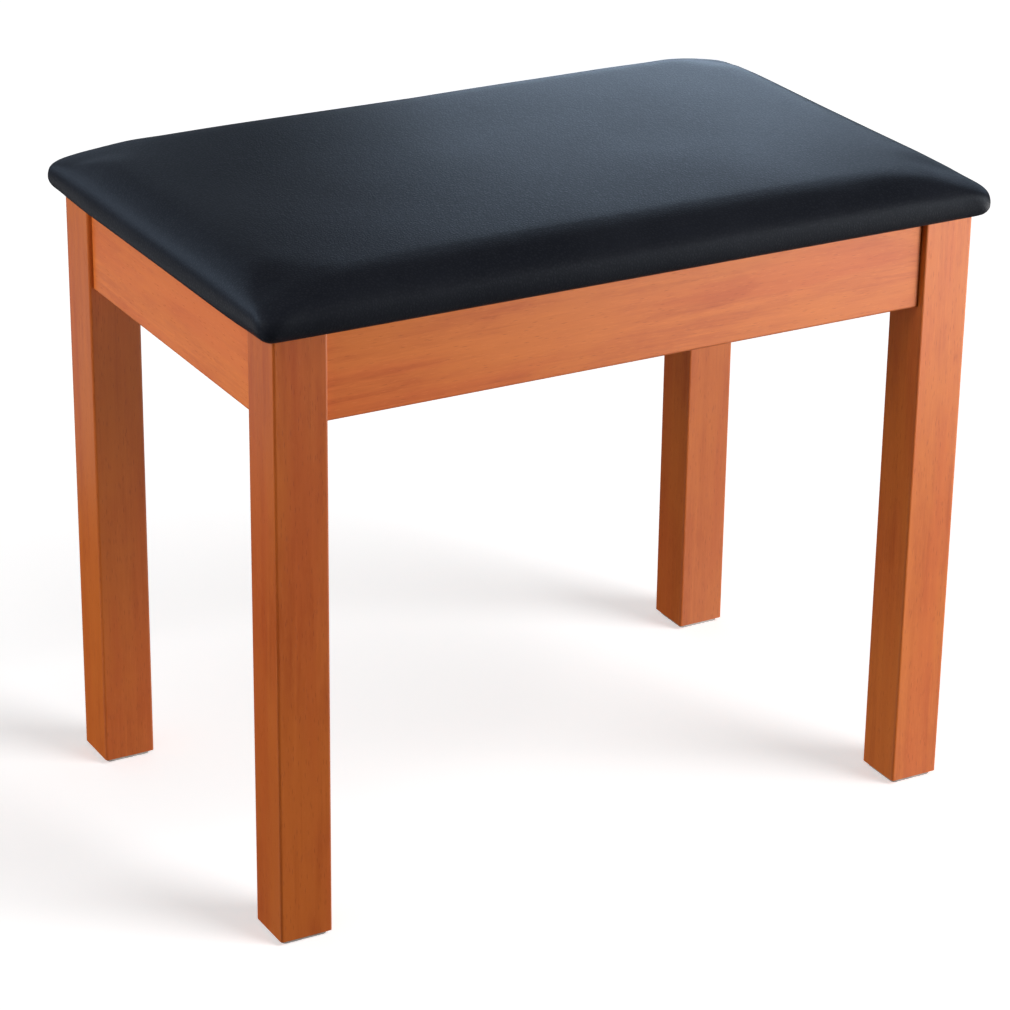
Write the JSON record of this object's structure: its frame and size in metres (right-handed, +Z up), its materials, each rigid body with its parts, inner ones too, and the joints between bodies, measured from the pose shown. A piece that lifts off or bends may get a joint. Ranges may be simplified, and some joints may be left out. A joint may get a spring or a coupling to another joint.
{
  "type": "piano bench",
  "caption": "Rectangular padded seat in dark vinyl on a stained wooden frame with straight square legs, for sitting at a keyboard.",
  "frame": {"origin": "on the floor below the middle of the seat", "axes": "+X along the bench's length, to the right as seen from the front; the front faces -Y; +Z up"},
  "size_m": [0.562, 0.364, 0.465],
  "materials": {
    "vinyl": "satin vinyl with a fine leather grain",
    "foam": "open-cell foam",
    "plywood": "unfinished plywood",
    "lining": "thin non-woven cloth",
    "stained_wood": "orange-brown stain under satin lacquer",
    "plain_wood": "unfinished hardwood",
    "felt": "pressed felt",
    "zinc_steel": "zinc plated",
    "brass": "plain"
  },
  "bodies": {
    "root": {"seat_cover": "vinyl", "foam_pad": "foam", "seat_board": "plywood", "dust_cover": "lining", "cover_staples": "zinc_steel", "front_apron": "stained_wood", "rear_apron": "stained_wood", "left_apron": "stained_wood", "right_apron": "stained_wood", "apron_dowels": "plain_wood", "front_left_leg": "stained_wood", "front_right_leg": "stained_wood", "rear_left_leg": "stained_wood", "rear_right_leg": "stained_wood", "front_left_block": "plain_wood", "front_right_block": "plain_wood", "rear_left_block": "plain_wood", "rear_right_block": "plain_wood", "leg_bolts": "zinc_steel", "spring_washers": "zinc_steel", "flat_washers": "zinc_steel", "threaded_inserts": "brass", "block_screws": "zinc_steel", "seat_screws": "zinc_steel", "front_left_pad": "felt", "front_right_pad": "felt", "rear_left_pad": "felt", "rear_right_pad": "felt"}
  },
  "joints": []
}
